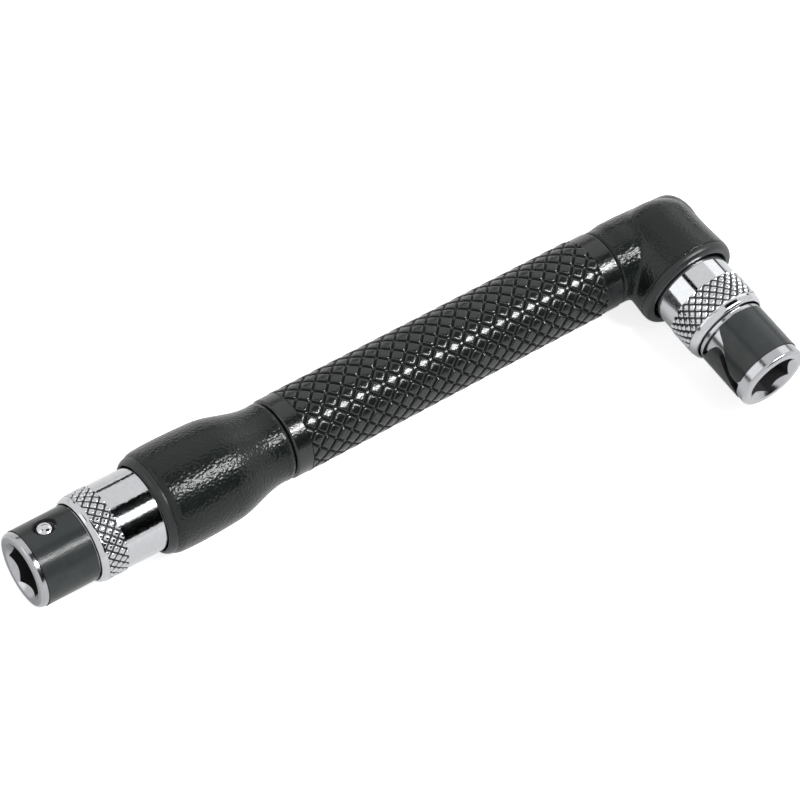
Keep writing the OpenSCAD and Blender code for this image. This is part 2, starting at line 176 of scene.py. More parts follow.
def knurl_tree():
    """A sheet of square cells, cut to one turn and rolled up, with grooves along its lines."""
    tree = bpy.data.node_groups.new("Diamond knurl", "GeometryNodeTree")
    tree.interface.new_socket("Geometry", in_out="OUTPUT", socket_type="NodeSocketGeometry")
    for name in (
        "Radius", "Starts", "Rows", "Sheet", "Depth", "Floor", "Wall", "Corner", "Crown",
        "Crowd", "Turn", "Tie", "Shade reach", "Crossing",
    ):
        tree.interface.new_socket(name, in_out="INPUT", socket_type="NodeSocketFloat")
    tree.interface.new_socket("Lines", in_out="INPUT", socket_type="NodeSocketInt")
    for name in ("Finish", "Groove shade"):
        tree.interface.new_socket(name, in_out="INPUT", socket_type="NodeSocketMaterial")
    given = add(tree, "NodeGroupInput").outputs
    math_node = "ShaderNodeMath"
    sheet = add(tree, "GeometryNodeMeshGrid", {
        "Size X": given["Sheet"], "Size Y": given["Sheet"],
        "Vertices X": given["Lines"], "Vertices Y": given["Lines"],
    })
    position = add(tree, "GeometryNodeInputPosition")
    cell = add(tree, "ShaderNodeSeparateXYZ", {0: position.outputs[0]})

    # The sheet is cut to one turn: its diagonals become the tube's length and its girth
    sides = (cell.outputs["X"], cell.outputs["Y"])
    raw_round = add(tree, math_node, sides, operation="ADD")
    raw_along = add(tree, math_node, sides, operation="SUBTRACT")
    tied = add(tree, math_node, (raw_round.outputs[0], 0.5, given["Tie"]),
               operation="MULTIPLY_ADD")
    round_off = add(tree, math_node, (tied.outputs[0],), operation="ABSOLUTE")
    along_off = add(tree, math_node, (raw_along.outputs[0],), operation="ABSOLUTE")
    half_turn = add(tree, math_node, (given["Starts"], 0.5), operation="MULTIPLY")
    all_rows = add(tree, math_node, (given["Rows"], 2.0), operation="MULTIPLY")
    past_turn = add(tree, math_node, (round_off.outputs[0], half_turn.outputs[0]),
                    operation="GREATER_THAN")
    past_rows = add(tree, math_node, (along_off.outputs[0], all_rows.outputs[0]),
                    operation="GREATER_THAN")
    outside = add(tree, math_node, (past_turn.outputs[0], past_rows.outputs[0]),
                  operation="MAXIMUM")
    one_turn = add(tree, "GeometryNodeDeleteGeometry", {
        "Geometry": sheet.outputs["Mesh"], "Selection": outside.outputs[0],
    }, domain="FACE")

    # The cuts crowd toward the lines, where the groove's walls need them
    lines, gaps = [], []
    for axis in ("X", "Y"):
        line = add(tree, math_node, (cell.outputs[axis],), operation="ROUND")
        aside = add(tree, math_node, (cell.outputs[axis], line.outputs[0]), operation="SUBTRACT")
        side = add(tree, math_node, (aside.outputs[0],), operation="SIGN")
        apart = add(tree, math_node, (aside.outputs[0],), operation="ABSOLUTE")
        doubled = add(tree, math_node, (apart.outputs[0], 2.0), operation="MULTIPLY")
        crowded = add(tree, math_node, (doubled.outputs[0], given["Crowd"]), operation="POWER")
        gap = add(tree, math_node, (crowded.outputs[0], 0.5), operation="MULTIPLY")
        moved = add(tree, math_node, (side.outputs[0], gap.outputs[0], line.outputs[0]),
                    operation="MULTIPLY_ADD")
        lines.append(moved.outputs[0])
        gaps.append(gap.outputs[0])
    nearest = add(tree, math_node, (*gaps, given["Corner"]), operation="SMOOTH_MIN")
    groove = add(tree, "ShaderNodeMapRange", {
        "Value": nearest.outputs[0], "From Min": given["Floor"], "From Max": given["Wall"],
        "To Min": given["Depth"], "To Max": 0.0,
    }, interpolation_type="SMOOTHSTEP")
    edge = add(tree, "ShaderNodeMapRange", {
        "Value": nearest.outputs[0], "From Max": 0.5, "To Min": 1.0, "To Max": 0.0,
    })
    bulge = add(tree, math_node, (edge.outputs[0], 2.0), operation="POWER")
    fall = add(tree, math_node, (bulge.outputs[0], given["Crown"], groove.outputs[0]),
               operation="MULTIPLY_ADD")
    radius = add(tree, math_node, (given["Radius"], fall.outputs[0]), operation="SUBTRACT")

    # Half the sum of the two lines goes round the tube, and half their difference along it
    turn_step = add(tree, math_node, (math.tau / 2, given["Starts"]), operation="DIVIDE")
    line_sum = add(tree, math_node, tuple(lines), operation="ADD")
    line_difference = add(tree, math_node, tuple(lines), operation="SUBTRACT")
    turn = add(tree, math_node, (line_sum.outputs[0], turn_step.outputs[0], given["Turn"]),
               operation="MULTIPLY_ADD")
    half_pitch = add(tree, math_node, (given["Radius"], turn_step.outputs[0]),
                     operation="MULTIPLY")
    across = add(tree, math_node, (turn.outputs[0],), operation="COSINE")
    aslant = add(tree, math_node, (turn.outputs[0],), operation="SINE")
    products = [
        add(tree, math_node, pair, operation="MULTIPLY").outputs[0] for pair in (
            (radius.outputs[0], across.outputs[0]),
            (radius.outputs[0], aslant.outputs[0]),
            (line_difference.outputs[0], half_pitch.outputs[0]),
        )
    ]
    rolled = add(tree, "ShaderNodeCombineXYZ", products)

    # The grooves between their crossings are marked on the flat sheet, for a finish of painted
    # shade
    farthest = add(tree, math_node, tuple(gaps), operation="MAXIMUM")
    off_crossing = add(tree, math_node, (farthest.outputs[0], given["Crossing"]),
                       operation="GREATER_THAN")
    below_edge = add(tree, math_node, (nearest.outputs[0], given["Shade reach"]),
                     operation="LESS_THAN")
    shaded_wall = add(tree, math_node, (off_crossing.outputs[0], below_edge.outputs[0]),
                  operation="MULTIPLY")
    marked = add(tree, "GeometryNodeCaptureAttribute", domain="FACE")
    marked.capture_items.new("FLOAT", "Wall")
    feed(tree, marked, {"Geometry": one_turn.outputs["Geometry"], "Wall": shaded_wall.outputs[0]})
    tube = add(tree, "GeometryNodeSetPosition", {
        "Geometry": marked.outputs["Geometry"], "Position": rolled.outputs[0],
    })
    welded = add(tree, "GeometryNodeMergeByDistance", {
        "Geometry": tube.outputs["Geometry"], "Distance": knurl_weld,
    })
    real = add(tree, "GeometryNodeRealizeInstances", {0: welded.outputs["Geometry"]})
    coated = add(tree, "GeometryNodeSetMaterial", {0: real.outputs[0], "Material": given["Finish"]})
    # Faces marked on the groove walls take the finish that carries the painted shade
    wall = add(tree, math_node, (marked.outputs["Wall"], 0.5), operation="GREATER_THAN")
    finished = add(tree, "GeometryNodeSetMaterial", {
        0: coated.outputs[0], "Selection": wall.outputs[0], "Material": given["Groove shade"],
    })
    add(tree, "NodeGroupOutput", {0: finished.outputs[0]})
    return tree


knurl = knurl_tree()


def knurled_sheet(sizes, length, turn, finish, groove_shade_finish):
    """Runs the knurl tree and returns its plain mesh, longer than the knurl by a few rows."""
    pitch = math.tau * sizes["radius"] / sizes["starts"]
    line_step = pitch / math.sqrt(2)
    rows = length / pitch / 2 + knurl_spare_rows
    sheet = 2 * math.ceil(sizes["starts"] / 2 + rows + 1)
    blank = bpy.data.meshes.new("blank")
    carrier = bpy.data.objects.new("carrier", blank)
    bpy.context.scene.collection.objects.link(carrier)
    modifier = carrier.modifiers.new("knurl", "NODES")
    modifier.node_group = knurl
    inputs = {
        "Radius": sizes["radius"], "Starts": float(sizes["starts"]), "Rows": rows,
        "Sheet": float(sheet), "Lines": sheet * sizes["cuts"] + 1,
        "Depth": sizes["depth"], "Floor": sizes["floor"] / line_step,
        "Wall": sizes["wall"] / line_step, "Corner": sizes["corner"] / line_step,
        "Crown": sizes["crown"], "Crowd": knurl_crowding, "Turn": turn,
        "Tie": knurl_seam_tie / sizes["cuts"],
        "Shade reach": sizes["shade_reach"] / line_step, "Crossing": sizes["crossing"] / line_step,
        "Finish": finish, "Groove shade": groove_shade_finish,
    }
    for item in knurl.interface.items_tree:
        if item.in_out == "INPUT":
            modifier[item.identifier] = inputs[item.name]
    carrier.update_tag()
    bpy.context.view_layer.update()
    evaluated = carrier.evaluated_get(bpy.context.evaluated_depsgraph_get())
    mesh = bpy.data.meshes.new_from_object(evaluated)
    bpy.data.objects.remove(carrier)
    bpy.data.meshes.remove(blank)
    # Faces with the painted shade finish go to the second slot
    shade_slot = mesh.materials.find(groove_shade_finish.name)
    for polygon in mesh.polygons:
        polygon.material_index = 1 if polygon.material_index == shade_slot else 0
    return mesh


def join(solid, part):
    """Moves a finished bmesh into another, with its faces turned outwards."""
    bmesh.ops.recalc_face_normals(part, faces=part.faces)
    ready = bpy.data.meshes.new("part")
    part.to_mesh(ready)
    part.free()
    solid.from_mesh(ready)
    bpy.data.meshes.remove(ready)


def add_knurl(solid, sizes, low, high, bore, turn, finish, groove_shade_finish):
    """Adds a closed ring to the bmesh, knurled outside, from station low to station high."""
    middle = (low + high) / 2
    part = bmesh.new()
    mesh = knurled_sheet(sizes, high - low, turn, finish, groove_shade_finish)
    part.from_mesh(mesh)
    bpy.data.meshes.remove(mesh)
    bmesh.ops.translate(part, verts=part.verts, vec=(0, 0, sizes["shift"]))
    for station, side in ((high - middle, 1), (low - middle, -1)):
        bmesh.ops.bisect_plane(
            part, geom=[*part.verts, *part.edges, *part.faces], dist=knurl_cut_weld,
            clear_outer=True, plane_co=(0, 0, station), plane_no=(0, 0, side),
        )
    rims = [edge for edge in part.edges if edge.is_boundary]
    made = bmesh.ops.extrude_edge_only(part, edges=rims)["geom"]
    for vert in (item for item in made if isinstance(item, bmesh.types.BMVert)):
        inward = bore / math.hypot(vert.co.x, vert.co.y)
        vert.co.x *= inward
        vert.co.y *= inward
    loops = [item for item in made if isinstance(item, bmesh.types.BMEdge) and item.is_boundary]
    bridged = bmesh.ops.bridge_loops(part, edges=loops)["faces"]
    for face in [*bridged, *(item for item in made if isinstance(item, bmesh.types.BMFace))]:
        face.material_index = 0
    bmesh.ops.translate(part, verts=part.verts, vec=(0, 0, middle))
    join(solid, part)


def rounded(corners, steps=5):
    """Turns (radius, station, rounding) corners into a closed outline with round corners."""
    # A rounding takes this share of the shorter side at most, and a point on each side
    # just past it keeps the shading of the flats beside it even
    most = 0.35
    guard = 1.3
    outline = []
    for index, (radius, station, size) in enumerate(corners):
        here = Vector((radius, station))
        if not size:
            outline.append(here)
            continue
        before = Vector(corners[index - 1][:2]) - here
        after = Vector(corners[(index + 1) % len(corners)][:2]) - here
        reach = min(size, before.length * most, after.length * most)
        start = here + before.normalized() * reach
        finish = here + after.normalized() * reach
        outline.append(here + before.normalized() * reach * guard)
        for step in range(steps + 1):
            share = step / steps
            outline.append(
                (1 - share) ** 2 * start + 2 * share * (1 - share) * here + share ** 2 * finish
            )
        outline.append(here + after.normalized() * reach * guard)
    return outline


def add_lathe(solid, outline, segments=160):
    """Adds a closed ring to the bmesh, turned from a closed outline of radius and station."""
    part = bmesh.new()
    rings = []
    for segment in range(segments):
        angle = math.tau * segment / segments
        rings.append([
            part.verts.new((radius * math.cos(angle), radius * math.sin(angle), station))
            for radius, station in outline
        ])
    for here, there in zip(rings, rings[1:] + rings[:1]):
        for index in range(len(outline)):
            after = (index + 1) % len(outline)
            part.faces.new((here[index], there[index], there[after], here[after]))
    join(solid, part)


def finish_piece(solid, name, place, materials, body, slot, *nodes, crease=35):
    """Puts a bmesh in place as a smooth piece that keeps the edges sharper than its crease."""
    mesh = bpy.data.meshes.new(name)
    solid.to_mesh(mesh)
    solid.free()
    mesh.transform(place)
    mesh.shade_smooth()
    mesh.set_sharp_from_angle(angle=math.radians(crease))
    for material in materials:
        mesh.materials.append(material)
    piece = bpy.data.objects.new(name, mesh)
    bpy.context.scene.collection.objects.link(piece)
    weigh = piece.modifiers.new("weigh", "WEIGHTED_NORMAL")
    weigh.keep_sharp = True
    evaluated = piece.evaluated_get(bpy.context.evaluated_depsgraph_get())
    weighed = bpy.data.meshes.new_from_object(evaluated)
    piece.modifiers.remove(weigh)
    piece.data = weighed
    bpy.data.meshes.remove(mesh)
    weighed.name = name
    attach(piece, body)
    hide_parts(*nodes)


def linear(code):
    """An sRGB hex colour as the linear colour that a shader takes."""
    shares = [int(code[index:index + 2], 16) / 255 for index in (1, 3, 5)]
    return [
        share / 12.92 if share <= 0.04045 else ((share + 0.055) / 1.055) ** 2.4
        for share in shares
    ] + [1.0]


def new_material(name):
    """A node material with its principled shader already joined to its output."""
    material = bpy.data.materials.new(name)
    material.use_nodes = True
    tree = material.node_tree
    tree.nodes.clear()
    shader = add(tree, "ShaderNodeBsdfPrincipled")
    add(tree, "ShaderNodeOutputMaterial", {"Surface": shader.outputs[0]})
    return material, tree, shader


def two_tone(tree, shader, tint_by, colours, gloss_by, roughness, others):
    """Leads a shader's colour and its roughness by a pattern each, and feeds the rest."""
    tint = add(tree, "ShaderNodeMix", {
        "Factor": tint_by, "A": linear(colours[0]), "B": linear(colours[1]),
    }, data_type="RGBA")
    gloss = add(tree, "ShaderNodeMapRange", {
        "Value": gloss_by, "To Min": roughness[0], "To Max": roughness[1],
    })
    feed(tree, shader, {
        "Base Color": tint.outputs["Result"], "Roughness": gloss.outputs[0], **others,
    })


def own_point(tree, place):
    """The place of a point in its piece's own frame, with Z along the piece's axis."""
    back = place.inverted()
    point = add(tree, "ShaderNodeTexCoord")
    centred = add(tree, "ShaderNodeMapping", {
        "Vector": point.outputs["Object"], "Location": back.translation,
        "Rotation": back.to_euler(),
    })
    return centred.outputs[0]


def lathe_place(tree, local):
    """A point's radius from its piece's axis and its station along it, in metres."""
    apart = add(tree, "ShaderNodeSeparateXYZ", {0: local})
    across = add(tree, "ShaderNodeCombineXYZ", (apart.outputs["X"], apart.outputs["Y"]))
    radius = add(tree, "ShaderNodeVectorMath", {0: across.outputs[0]}, operation="LENGTH")
    return radius.outputs["Value"], apart.outputs["Z"]


# Enamel sprayed over a rolled knurl: glossy black, with a slow waviness that tears the
# highlights, a fine orange peel, and painted shade that darkens it toward the grooves' bottoms.
grip_enamel, tree, shader = new_material("Glossy black enamel over steel")
enamel_black = "#151919"
enamel_painted_shade = "#090b0b"
enamel_roughness = (0.14, 0.24)
peel_size = 0.3 * MM
peel_height = 0.03 * MM
wave_size = 1.2 * MM
wave_height = 0.02 * MM
local = own_point(tree, grip_place)
peel = add(tree, "ShaderNodeTexNoise", {"Vector": local, "Scale": 1 / peel_size, "Detail": 2.0})
wave = add(tree, "ShaderNodeTexNoise", {"Vector": local, "Scale": 1 / wave_size, "Detail": 1.0})
# Painted shade: the colour gets darker toward the bottom of the grooves, by radius
groove_depth_shade = add(tree, "ShaderNodeMapRange", {
    "Value": lathe_place(tree, local)[0],
    "From Min": grip_knurl["radius"] - grip_knurl["depth"],
    "From Max": grip_knurl["radius"] - grip_knurl["crown"],
    "To Min": 1.0,
    "To Max": 0.0,
})
waved = add(tree, "ShaderNodeBump", {"Height": wave.outputs[0], "Distance": wave_height})
peeled = add(tree, "ShaderNodeBump", {
    "Height": peel.outputs[0], "Distance": peel_height, "Normal": waved.outputs[0],
})
two_tone(
    tree, shader, groove_depth_shade.outputs[0], (enamel_black, enamel_painted_shade),
    peel.outputs[0], enamel_roughness,
    {"Normal": peeled.outputs[0], "Specular IOR Level": 0.65},
)

# The same enamel on the grooves' walls between their crossings, painted nearly black and dull as
# shade
groove_shade_enamel, tree, shader = new_material("Black enamel with painted shade in the grooves")
shade_black = "#060707"
shade_grey = "#101212"
shade_roughness = (0.4, 0.6)
point = add(tree, "ShaderNodeTexCoord")
shade_mottle = add(tree, "ShaderNodeTexNoise", {
    "Vector": point.outputs["Object"], "Scale": 1 / peel_size, "Detail": 2.0,
})
two_tone(
    tree, shader, shade_mottle.outputs[0], (shade_black, shade_grey), shade_mottle.outputs[0], shade_roughness,
    {"Specular IOR Level": 0.12},
)

bell_joint = crossing.x - tube_low.x
elbow_joint = crossing.x - tube_high.x
knurl_low = elbow_joint + collar_widths["elbow"]
knurl_high = bell_joint - collar_widths["bell"]
grip = bmesh.new()
add_knurl(
    grip, grip_knurl, knurl_low, knurl_high, tube_bore, diamond_turn, grip_enamel, groove_shade_enamel
)
for radius, joint, knurl_end, inward in (
    (collar_radii["elbow"], elbow_joint, knurl_low, 1),
    (collar_radii["bell"], bell_joint, knurl_high, -1),
):
    add_lathe(grip, rounded([
        (tube_bore, joint, 0),
        (radius - collar_chamfer, joint, 0),
        (radius, joint + inward * collar_chamfer, collar_softness),
        (radius, knurl_end, collar_softness),
        (tube_bore, knurl_end, 0),
    ]))
finish_piece(
    grip, "knurled_tube", grip_place, [grip_enamel, groove_shade_enamel], "handle", "knurled_grip",
    "grip_tube", crease=60,
)

# The bell and the elbow are zinc castings under a black powder coat, pushed into the tube.
# Their forms come straight from the frame, and the coat softens every edge a little.
cast_voxel = 0.2 * MM
cast_smoothing = 8
cad_weld = 0.001 * MM
cad_flatness = math.radians(0.6)


def reworked(node, place, *steps):
    """Copies a CAD node's mesh, welds it and runs it through modifiers, in its piece's frame."""
    solid = bmesh.new()
    solid.from_mesh(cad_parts[node].data)
    bmesh.ops.remove_doubles(solid, verts=solid.verts, dist=cad_weld)
    bmesh.ops.dissolve_limit(
        solid, angle_limit=cad_flatness, verts=solid.verts, edges=solid.edges
    )
    mesh = bpy.data.meshes.new(node)
    solid.to_mesh(mesh)
    solid.free()
    mesh.transform(place.inverted())
    carrier = bpy.data.objects.new("carrier", mesh)
    bpy.context.scene.collection.objects.link(carrier)
    for kind, settings in steps:
        modifier = carrier.modifiers.new(kind, kind)
        for key, value in settings.items():
            setattr(modifier, key, value)
    evaluated = carrier.evaluated_get(bpy.context.evaluated_depsgraph_get())
    ready = bpy.data.meshes.new_from_object(evaluated)
    bpy.data.objects.remove(carrier)
    bpy.data.meshes.remove(mesh)
    solid = bmesh.new()
    solid.from_mesh(ready)
    bpy.data.meshes.remove(ready)
    return solid


# Powder coat baked on zinc: deep black with a hint of green, dull between its grains, so a
# highlight breaks up into a field of small sparks and the rest looks smooth and even.
cast_coat, tree, shader = new_material("Grained black powder coat")
coat_black = "#151a19"
coat_worn = "#1c2120"
coat_roughness = (0.18, 0.26)
grain_size = 0.36 * MM
grain_height = 0.06 * MM
cloud_size = 4 * MM
point = add(tree, "ShaderNodeTexCoord")
grain = add(tree, "ShaderNodeTexNoise", {
    "Vector": point.outputs["Object"], "Scale": 1 / grain_size, "Detail": 0.0,
})
cloud = add(tree, "ShaderNodeTexNoise", {
    "Vector": point.outputs["Object"], "Scale": 1 / cloud_size, "Detail": 3.0,
})
raised = add(tree, "ShaderNodeBump", {"Height": grain.outputs[0], "Distance": grain_height})
two_tone(
    tree, shader, cloud.outputs[0], (coat_black, coat_worn), cloud.outputs[0], coat_roughness,
    {"Normal": raised.outputs[0], "Specular IOR Level": 0.32},
)
for node, name, place in (
    ("bell_housing", "bell_casting", grip_place),
    ("elbow_housing", "elbow_casting", leg_place),
):
    casting = reworked(
        node, place,
        ("REMESH", {"mode": "VOXEL", "voxel_size": cast_voxel}),
        ("SMOOTH", {"factor": 0.5, "iterations": cast_smoothing}),
    )
    finish_piece(casting, name, place, [cast_coat], "handle", "coated_casting", node)

# A tie screw and its washer hold the castings together through the tube, out of sight.
# Both are bought steel pieces, zinc plated and clear passivated, with a cold cloudy gleam.
zinc_plate, tree, shader = new_material("Zinc plate on steel")
zinc_pale = "#c3c7ca"
zinc_cloud = "#a4a9ac"
zinc_roughness = (0.25, 0.42)
flake_size = 0.5 * MM
flake = add(tree, "ShaderNodeTexNoise", {
    "Vector": own_point(tree, grip_place), "Scale": 1 / flake_size, "Detail": 4.0,
})
two_tone(
    tree, shader, flake.outputs[0], (zinc_pale, zinc_cloud), flake.outputs[0], zinc_roughness,
    {"Metallic": 1.0},
)


def refinish(node, material):
    """Gives a CAD node that keeps its own form a new material, on its object's slots."""
    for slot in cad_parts[node].material_slots:
        slot.link = "OBJECT"
        slot.material = material


refinish("tie_screw", zinc_plate)
refinish("tie_washer", zinc_plate)

# The chuck bodies are turned from steel bar, nickel plated, and pressed into the castings.
# Each has a broached hex socket, oxide and painted shade inside, and a magnet at its bottom.
socket_depth = 12.6 * MM
socket_radius = 3.78 * MM
countersink_depth = 0.9 * MM
# The oxide and painted shade go this far past the socket, down to the magnet's seat
seat_depth = 1.0 * MM
nose_softness = 0.07 * MM
bevel_steps = 3
bevel_angle = math.radians(35)
# A face looks along its piece's axis when its normal's share of it is above this
end_facing = 0.5


def softened(node, place, width):
    """A CAD node's form with its sharp edges rounded."""
    return reworked(node, place, ("BEVEL", {
        "width": width, "segments": bevel_steps, "limit_method": "ANGLE",
        "angle_limit": bevel_angle, "use_clamp_overlap": True,
    }))


def stations(end, part):
    """The rear and the front of an end's CAD part, along that end's own axis."""
    axis = {"straight": 0, "angle": 1}[end]
    low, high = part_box(end + "_" + part)
    return crossing[axis] - high[axis], crossing[axis] - low[axis]


# Black oxide in a broached socket, darkened to near black as painted shade, with cloudy patches of
# scale
oxide_and_shade, tree, shader = new_material("Black oxide with painted shade on broached steel")
oxide_shade_black = "#232224"
oxide_shade_grey = "#3d3c3e"
oxide_shade_roughness = (0.6, 0.8)
scale_size = 0.4 * MM
point = add(tree, "ShaderNodeTexCoord")
scale = add(tree, "ShaderNodeTexNoise", {
    "Vector": point.outputs["Object"], "Scale": 1 / scale_size, "Detail": 3.0,
})
two_tone(
    tree, shader, scale.outputs[0], (oxide_shade_black, oxide_shade_grey), scale.outputs[0], oxide_shade_roughness,
    {"Specular IOR Level": 0.1},
)

# Nickel with a satin turned surface: rings of fine feed marks that spread the highlights.
# The marks are the same all round a piece, as the lathe leaves them.
nickel_pale = "#bcbdc0"
nickel_worn = "#a5a6a9"
nickel_roughness = (0.1, 0.24)
mark_size = 0.06 * MM
mark_height = 0.004 * MM
nickel_steels = {}
for end, place in places.items():
    nickel, tree, shader = new_material("Turned nickel-plated steel, " + end)
    flat = add(tree, "ShaderNodeCombineXYZ", lathe_place(tree, own_point(tree, place)))
    marks = add(tree, "ShaderNodeTexNoise", {
        "Vector": flat.outputs[0], "Scale": 1 / mark_size, "Detail": 2.0,
    }, noise_dimensions="2D")
    cut = add(tree, "ShaderNodeBump", {"Height": marks.outputs[0], "Distance": mark_height})
    two_tone(
        tree, shader, marks.outputs[0], (nickel_pale, nickel_worn),
        marks.outputs[0], nickel_roughness,
        {"Metallic": 1.0, "Normal": cut.outputs[0]},
    )
    nickel_steels[end] = nickel

# The sockets' walls are told from the noses by their place and by the way that they face
for end, place in places.items():
    nose_front = stations(end, "chuck_body")[1]
    nose = softened(end + "_chuck_body", place, nose_softness)
    for face in nose.faces:
        centre = face.calc_center_median()
        inner = math.hypot(centre.x, centre.y) < socket_radius
        reached = centre.z > nose_front - socket_depth - seat_depth
        past_countersink = centre.z < nose_front - countersink_depth
        wall = past_countersink or abs(face.normal.z) < end_facing
        # Socket walls take the oxide finish with painted shade
        face.material_index = int(inner and reached and wall)
    finish_piece(
        nose, end + "_nose", place, [nickel_steels[end], oxide_and_shade], "handle",
        "bright_steel", end + "_chuck_body",
    )
    refinish(end + "_bit_magnet", zinc_plate)

# The keeper bands are strips of spring steel, rolled to a split ring and blackened in oil.
# Each snaps into its groove and holds the ball in the hole that is punched in it.
band_softness = 0.12 * MM
window_radius = 1.75 * MM
window_hold_radius = 1.5 * MM
outer_skin = 0.03 * MM
band_black = "#333737"
band_worn = "#424646"
band_roughness = (0.14, 0.28)
patch_size = 2 * MM
streak_size = 0.35 * MM
streak_stretch = 0.15
streak_height = 0.012 * MM
grit_size = 0.2 * MM
grit_height = 0.012 * MM
for end, place in places.items():
    # Oil blackened steel: an even satin charcoal, with faint streaks along the axis and a grit
    blackened, tree, shader = new_material("Blackened spring steel, " + end)
    local = own_point(tree, place)
    drawn = add(tree, "ShaderNodeMapping", {"Vector": local, "Scale": (1, 1, streak_stretch)})
    streak = add(tree, "ShaderNodeTexNoise", {
        "Vector": drawn.outputs[0], "Scale": 1 / streak_size, "Detail": 3.0, "Roughness": 0.6,
    })
    patch = add(tree, "ShaderNodeTexNoise", {
        "Vector": local, "Scale": 1 / patch_size, "Detail": 2.0,
    })
    grit = add(tree, "ShaderNodeTexNoise", {
        "Vector": local, "Scale": 1 / grit_size, "Detail": 1.0,
    })
    etched = add(tree, "ShaderNodeBump", {"Height": grit.outputs[0], "Distance": grit_height})
    scored = add(tree, "ShaderNodeBump", {
        "Height": streak.outputs[0], "Distance": streak_height, "Normal": etched.outputs[0],
    })
    two_tone(
        tree, shader, patch.outputs[0], (band_black, band_worn),
        streak.outputs[0], band_roughness,
        {"Normal": scored.outputs[0], "Specular IOR Level": 0.25},
    )

    # The band's ends and the hole's wall take the socket's near-black finish as painted shade
    band_low, band_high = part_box(end + "_keeper_band")
    band_radius = (band_high.z - band_low.z) / 2
    ball_low, ball_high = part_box(end + "_lock_ball")
    ball_centre = place.inverted() @ ((ball_low + ball_high) / 2)
    ball_way = Vector((ball_centre.x, ball_centre.y, 0)).normalized()
    band = softened(end + "_keeper_band", place, band_softness)
    for face in band.faces:
        centre = face.calc_center_median()
        away = centre - ball_centre
        rise = away.dot(ball_way)
        sunk = math.hypot(centre.x, centre.y) < band_radius - outer_skin
        in_hole = (away - ball_way * rise).length < window_radius and rise > 0 and sunk
        face.material_index = int(in_hole or abs(face.normal.z) > end_facing)

    # The hole is opened to a straight punched one, so that more of the ball shows in it
    for vert in band.verts:
        away = vert.co - ball_centre
        rise = away.dot(ball_way)
        aside = away - ball_way * rise
        if rise > 0 and aside.length < window_hold_radius:
            vert.co += aside.normalized() * (window_hold_radius - aside.length)
    finish_piece(
        band, end + "_black_band", place, [blackened, oxide_and_shade], "handle",
        "black_spring_steel", end + "_keeper_band",
    )
    refinish(end + "_lock_screw", blackened)

# The lock balls are hardened bearing balls, lapped to a mirror, with a few fine scratches.
# Each is trapped between the band and its seat in the chuck, and drops into a bit's notch.
ball_radius = 1.44 * MM
ball_bright = "#d6d7d9"
ball_grey = "#bfc1c4"
ball_roughness = (0.03, 0.14)
scratch_size = 0.3 * MM
ball_steel, tree, shader = new_material("Lapped bearing steel")
point = add(tree, "ShaderNodeTexCoord")
scratch = add(tree, "ShaderNodeTexNoise", {
    "Vector": point.outputs["Object"], "Scale": 1 / scratch_size, "Detail": 5.0,
    "Distortion": 2.0,
})
two_tone(
    tree, shader, scratch.outputs[0], (ball_bright, ball_grey),
    scratch.outputs[0], ball_roughness, {"Metallic": 1.0},
)
for end in places:
    low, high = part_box(end + "_lock_ball")
    ball = bmesh.new()
    bmesh.ops.create_icosphere(ball, subdivisions=5, radius=ball_radius)
    finish_piece(
        ball, end + "_ball", Matrix.Translation((low + high) / 2), [ball_steel],
        end + "_ball", "polished_steel", end + "_lock_ball", crease=180,
    )

# The lock sleeves are turned tubes with a fine knurled ring, under bright decorative chrome.
# A wire friction ring inside each one grips the shank and holds the sleeve where it is pushed.
sleeve_radius = 5.9 * MM
sleeve_land_radius = 5.98 * MM
sleeve_edge_radius = 5.5 * MM
sleeve_bore = 5.42 * MM
collar_bore = 4.65 * MM
collar_lengths = {"straight": 9.35 * MM, "angle": 9.0 * MM}
ring_groove_radius = 5.3 * MM
ring_gap = 0.05 * MM
fine_knurl = {
    "radius": 6.05 * MM,
    "starts": 28,
    "cuts": 12,
    "depth": 0.2 * MM,
    "floor": 0.01 * MM,
    "wall": 0.28 * MM,
    "corner": 0.12 * MM,
    "crown": 0.03 * MM,
    "shade_reach": 0.14 * MM,
    "crossing": 0.0,
    "shift": 0.0,
}
land_widths = {"straight": 0.9 * MM, "angle": 1.2 * MM}
knurl_widths = {"straight": 2.9 * MM, "angle": 4.0 * MM}
sleeve_softness = 0.06 * MM
land_steps = 8


def quarter_round(radius, station, across, along, steps):
    """Outline points of a rounded lip, from its side round to its front."""
    points = []
    for step in range(steps + 1):
        angle = quarter * step / steps
        points.append((radius + across * math.cos(angle), station + along * math.sin(angle)))
    return points


# Chrome down in the knurl's grooves, painted dark grey and dull as shade, with a mottled tone
groove_shade_chrome, tree, shader = new_material("Chrome with painted shade in the grooves")
chrome_shade_dark = "#222325"
chrome_shade_pale = "#505153"
groove_roughness = (0.35, 0.5)
chrome_mottle_size = 0.4 * MM
point = add(tree, "ShaderNodeTexCoord")
chrome_shade_mottle = add(tree, "ShaderNodeTexNoise", {
    "Vector": point.outputs["Object"], "Scale": 1 / chrome_mottle_size, "Detail": 2.0,
})
two_tone(
    tree, shader, chrome_shade_mottle.outputs[0], (chrome_shade_dark, chrome_shade_pale), chrome_shade_mottle.outputs[0], groove_roughness,
    {"Metallic": 1.0},
)

